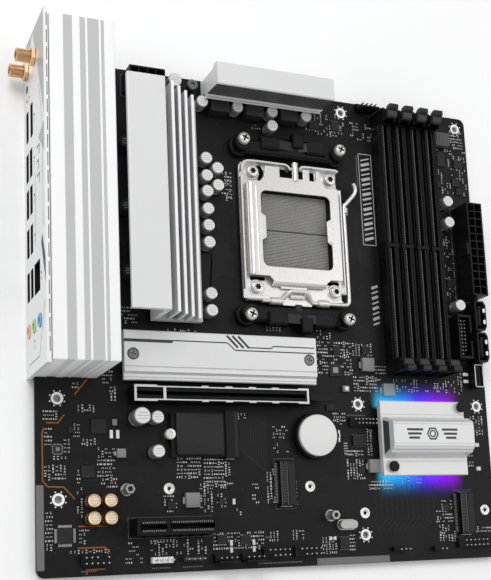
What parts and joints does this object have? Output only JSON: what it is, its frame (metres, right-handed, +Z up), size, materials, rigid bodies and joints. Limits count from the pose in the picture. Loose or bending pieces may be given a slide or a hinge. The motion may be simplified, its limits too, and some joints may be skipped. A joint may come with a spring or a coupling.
{
  "type": "motherboard",
  "caption": "Micro-ATX computer motherboard with white heatsinks and I/O cover, open processor socket with lever, memory slots with latches and expansion slots.",
  "frame": {"origin": "centre of the bounding box in plan, on the surface the board lies on", "axes": "+X from the rear ports to the front edge, +Y to the edge by the processor's top heatsink, +Z up out of the component side"},
  "size_m": [0.2552, 0.2474, 0.0454],
  "materials": {
    "board": "satin",
    "black_plastic": "satin",
    "grey_plastic": "satin",
    "white_paint": "satin",
    "silver_aluminium": "satin",
    "plated_steel": "polished",
    "slot_armour": "satin",
    "gold_plate": "polished",
    "port_shell": "satin"
  },
  "bodies": {
    "board": {"pcb": "board", "wifi_module": "board", "socket_housing": "black_plastic", "cooler_bracket_top": "black_plastic", "cooler_bracket_bottom": "black_plastic", "audio_jack_stack": "black_plastic", "dimm_slot_1": "black_plastic", "dimm_slot_2": "black_plastic", "dimm_slot_3": "black_plastic", "dimm_slot_4": "black_plastic", "pcie_short_slot": "black_plastic", "m2_socket_left": "black_plastic", "m2_socket_right": "black_plastic", "wifi_socket": "black_plastic", "atx_power_connector": "black_plastic", "cpu_power_connector": "black_plastic", "sata_port_1": "black_plastic", "sata_port_2": "black_plastic", "usb3_header": "black_plastic", "battery_holder": "black_plastic", "m2_screw_1": "grey_plastic", "m2_screw_2": "grey_plastic", "io_cover": "white_paint", "vrm_heatsink_left": "white_paint", "vrm_heatsink_top": "white_paint", "m2_heatsink": "white_paint", "chipset_heatsink": "white_paint", "io_shield": "silver_aluminium", "cpu_backplate": "plated_steel", "socket_frame": "plated_steel", "usbc_header": "plated_steel", "socket_screw_1": "plated_steel", "socket_screw_2": "plated_steel", "socket_screw_3": "plated_steel", "socket_screw_4": "plated_steel", "bracket_screw_1": "plated_steel", "bracket_screw_2": "plated_steel", "bracket_screw_3": "plated_steel", "bracket_screw_4": "plated_steel", "pcie_long_slot": "slot_armour", "antenna_connector_1": "gold_plate", "antenna_connector_2": "gold_plate", "usb_stack_1": "port_shell", "usb_stack_2": "port_shell", "usb_stack_3": "port_shell", "network_usb_stack": "port_shell", "video_port_stack": "port_shell"},
    "load_plate": {"socket_load_plate": "plated_steel"},
    "lever": {"socket_lever": "plated_steel"},
    "slot_latch": {"pcie_slot_latch": "black_plastic"},
    "button": {"flashback_button": "grey_plastic"},
    "cell": {"coin_cell": "plated_steel"},
    "dimm_latch_top_1": {"dimm_latch_top_1": "grey_plastic"},
    "dimm_latch_top_2": {"dimm_latch_top_2": "grey_plastic"},
    "dimm_latch_top_3": {"dimm_latch_top_3": "grey_plastic"},
    "dimm_latch_top_4": {"dimm_latch_top_4": "grey_plastic"},
    "dimm_latch_bottom_1": {"dimm_latch_bottom_1": "grey_plastic"},
    "dimm_latch_bottom_2": {"dimm_latch_bottom_2": "grey_plastic"},
    "dimm_latch_bottom_3": {"dimm_latch_bottom_3": "grey_plastic"},
    "dimm_latch_bottom_4": {"dimm_latch_bottom_4": "grey_plastic"}
  },
  "joints": [
    {"name": "load_plate_hinge", "type": "hinge", "parent": "board", "child": "load_plate", "pos_m": [0.01538, 0.07642, 0.01056], "axis": [-1, 0, 0], "range_deg": [0, 110]},
    {"name": "lever_hinge", "type": "hinge", "parent": "board", "child": "lever", "pos_m": [0.01538, 0.00692, 0.00741], "axis": [1, 0, 0], "range_deg": [0, 110]},
    {"name": "slot_latch_hinge", "type": "hinge", "parent": "board", "child": "slot_latch", "pos_m": [0.01798, -0.04203, 0.00721], "axis": [0, 1, 0], "range_deg": [0, 20]},
    {"name": "button_press", "type": "slide", "parent": "board", "child": "button", "axis": [1, 0, 0], "range_m": [0, 0.0008], "stiffness_N_per_m": 300, "springref_m": -0.002},
    {"name": "cell_lift", "type": "slide", "parent": "board", "child": "cell", "axis": [0, 0, 1], "range_m": [0, 0.012]},
    {"name": "dimm_latch_top_1_hinge", "type": "hinge", "parent": "board", "child": "dimm_latch_top_1", "pos_m": [0.07038, 0.11132, 0.00751], "axis": [-1, 0, 0], "range_deg": [0, 30]},
    {"name": "dimm_latch_top_2_hinge", "type": "hinge", "parent": "board", "child": "dimm_latch_top_2", "pos_m": [0.07958, 0.11132, 0.00751], "axis": [-1, 0, 0], "range_deg": [0, 30]},
    {"name": "dimm_latch_top_3_hinge", "type": "hinge", "parent": "board", "child": "dimm_latch_top_3", "pos_m": [0.08878, 0.11132, 0.00751], "axis": [-1, 0, 0], "range_deg": [0, 30]},
    {"name": "dimm_latch_top_4_hinge", "type": "hinge", "parent": "board", "child": "dimm_latch_top_4", "pos_m": [0.09798, 0.11132, 0.00751], "axis": [-1, 0, 0], "range_deg": [0, 30]},
    {"name": "dimm_latch_bottom_1_hinge", "type": "hinge", "parent": "board", "child": "dimm_latch_bottom_1", "pos_m": [0.07038, -0.02608, 0.00751], "axis": [1, 0, 0], "range_deg": [0, 30]},
    {"name": "dimm_latch_bottom_2_hinge", "type": "hinge", "parent": "board", "child": "dimm_latch_bottom_2", "pos_m": [0.07958, -0.02608, 0.00751], "axis": [1, 0, 0], "range_deg": [0, 30]},
    {"name": "dimm_latch_bottom_3_hinge", "type": "hinge", "parent": "board", "child": "dimm_latch_bottom_3", "pos_m": [0.08878, -0.02608, 0.00751], "axis": [1, 0, 0], "range_deg": [0, 30]},
    {"name": "dimm_latch_bottom_4_hinge", "type": "hinge", "parent": "board", "child": "dimm_latch_bottom_4", "pos_m": [0.09798, -0.02608, 0.00751], "axis": [1, 0, 0], "range_deg": [0, 30]}
  ]
}
